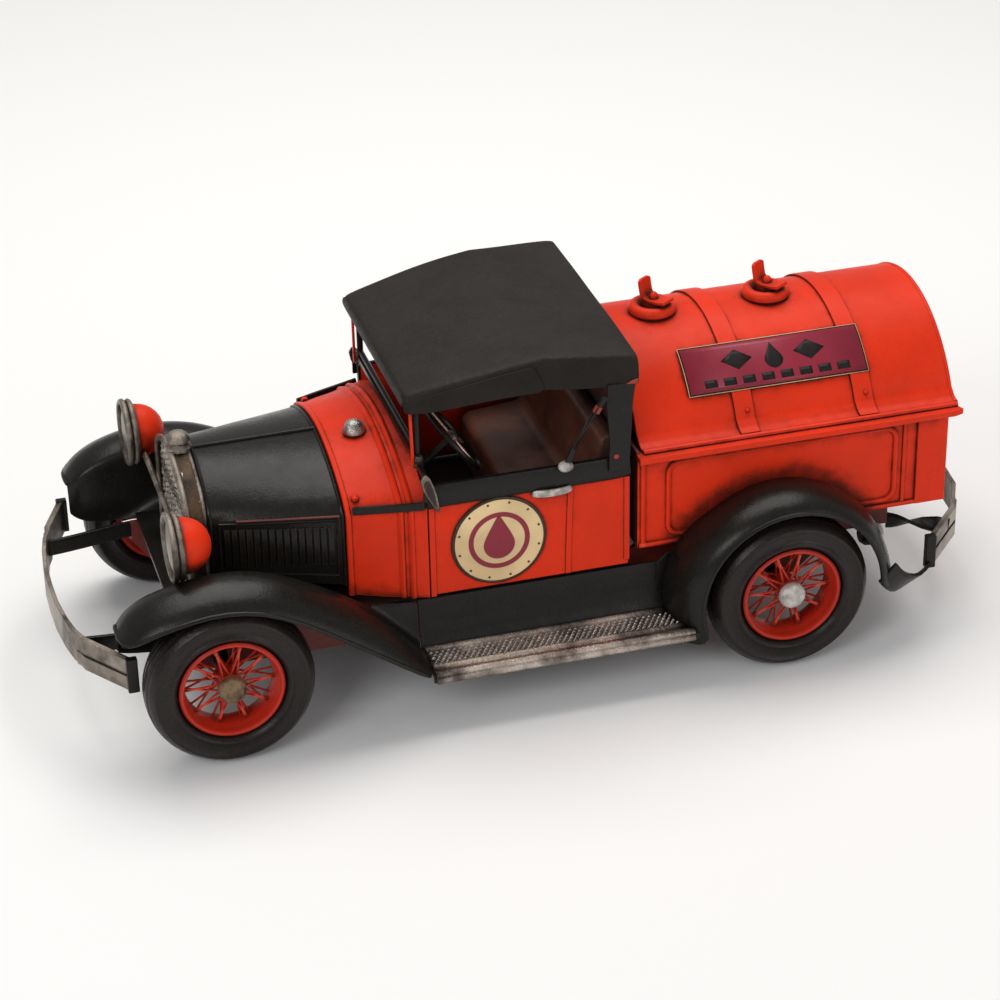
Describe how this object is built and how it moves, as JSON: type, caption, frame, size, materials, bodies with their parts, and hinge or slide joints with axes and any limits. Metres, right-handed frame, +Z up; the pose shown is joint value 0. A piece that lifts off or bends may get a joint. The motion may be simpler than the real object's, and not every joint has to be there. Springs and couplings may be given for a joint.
{
  "type": "toy tanker truck",
  "caption": "Handmade tin toy tanker truck with wire wheels, open cab under a fabric-style roof, and a rounded tank with turning filler wings on a pressed bed.",
  "frame": {"origin": "centre of the overall box in plan, on the ground under the tyres", "axes": "-Y is the front of the truck, +Y the rear, +X its left side, +Z up"},
  "size_m": [0.116, 0.275, 0.1034],
  "materials": {
    "red_enamel": "orange-red enamel over tin, brown wash in the recesses",
    "black_enamel": "satin black enamel with small rubs",
    "aged_silver": "silver paint on tin with a dark brown patina",
    "tyre_rubber": "matte black rubber, lightly scuffed",
    "seat_enamel": "dark brown-red enamel"
  },
  "bodies": {
    "root": {"bed_box": "red_enamel", "bench_seat": "seat_enamel", "cab_back_wall": "red_enamel", "cab_side_left": "red_enamel", "cab_side_right": "red_enamel", "cowl": "red_enamel", "cowl_filler_cap": "aged_silver", "dashboard": "red_enamel", "fender_front_left": "black_enamel", "fender_front_right": "black_enamel", "fender_rear_left": "black_enamel", "fender_rear_right": "black_enamel", "filler_collar_front": "aged_silver", "filler_collar_rear": "aged_silver", "floor_pan": "black_enamel", "frame_rail_left": "black_enamel", "frame_rail_right": "black_enamel", "front_axle": "black_enamel", "front_bumper": "aged_silver", "front_bumper_arm_left": "black_enamel", "front_bumper_arm_right": "black_enamel", "headlamp_bar": "aged_silver", "headlamp_left": "red_enamel", "headlamp_right": "red_enamel", "hood": "black_enamel", "landau_iron_left": "aged_silver", "landau_iron_right": "aged_silver", "radiator_cap": "aged_silver", "radiator_grille": "aged_silver", "radiator_shell": "red_enamel", "rear_axle": "black_enamel", "rear_bumper": "aged_silver", "rear_bumper_arm_left": "black_enamel", "rear_bumper_arm_right": "black_enamel", "roof": "black_enamel", "running_board_left": "aged_silver", "running_board_right": "aged_silver", "steering_column": "black_enamel", "tail_lamp": "black_enamel", "tailgate": "red_enamel", "tank_band_front": "red_enamel", "tank_band_rear": "red_enamel", "tank_shell": "red_enamel", "windscreen_frame": "black_enamel"},
    "wheel_front_left": {"tyre_front_left": "tyre_rubber", "wire_wheel_front_left": "red_enamel", "hub_cap_front_left": "aged_silver"},
    "wheel_front_right": {"tyre_front_right": "tyre_rubber", "wire_wheel_front_right": "red_enamel", "hub_cap_front_right": "aged_silver"},
    "wheel_rear_left": {"tyre_rear_left": "tyre_rubber", "wire_wheel_rear_left": "red_enamel", "hub_cap_rear_left": "aged_silver"},
    "wheel_rear_right": {"tyre_rear_right": "tyre_rubber", "wire_wheel_rear_right": "red_enamel", "hub_cap_rear_right": "aged_silver"},
    "steering": {"steering_wheel": "black_enamel"},
    "filler_front": {"filler_wing_front": "aged_silver"},
    "filler_rear": {"filler_wing_rear": "aged_silver"}
  },
  "joints": [
    {"name": "wheel_front_left_spin", "type": "hinge", "parent": "root", "child": "wheel_front_left", "pos_m": [0.0512, -0.0955, 0.0241], "axis": [1, 0, 0], "continuous": true},
    {"name": "wheel_front_right_spin", "type": "hinge", "parent": "root", "child": "wheel_front_right", "pos_m": [-0.0512, -0.0955, 0.0241], "axis": [1, 0, 0], "continuous": true},
    {"name": "wheel_rear_left_spin", "type": "hinge", "parent": "root", "child": "wheel_rear_left", "pos_m": [0.0512, 0.0695, 0.0241], "axis": [1, 0, 0], "continuous": true},
    {"name": "wheel_rear_right_spin", "type": "hinge", "parent": "root", "child": "wheel_rear_right", "pos_m": [-0.0512, 0.0695, 0.0241], "axis": [1, 0, 0], "continuous": true},
    {"name": "steering_turn", "type": "hinge", "parent": "root", "child": "steering", "pos_m": [0.02, -0.0212, 0.0728], "axis": [0, 0.7878, 0.6159], "continuous": true},
    {"name": "filler_front_turn", "type": "hinge", "parent": "root", "child": "filler_front", "pos_m": [0, 0.0452, 0.0937], "axis": [0, 0, 1], "range_deg": [-90, 90]},
    {"name": "filler_rear_turn", "type": "hinge", "parent": "root", "child": "filler_rear", "pos_m": [0, 0.0803, 0.0937], "axis": [0, 0, 1], "range_deg": [-90, 90]}
  ]
}
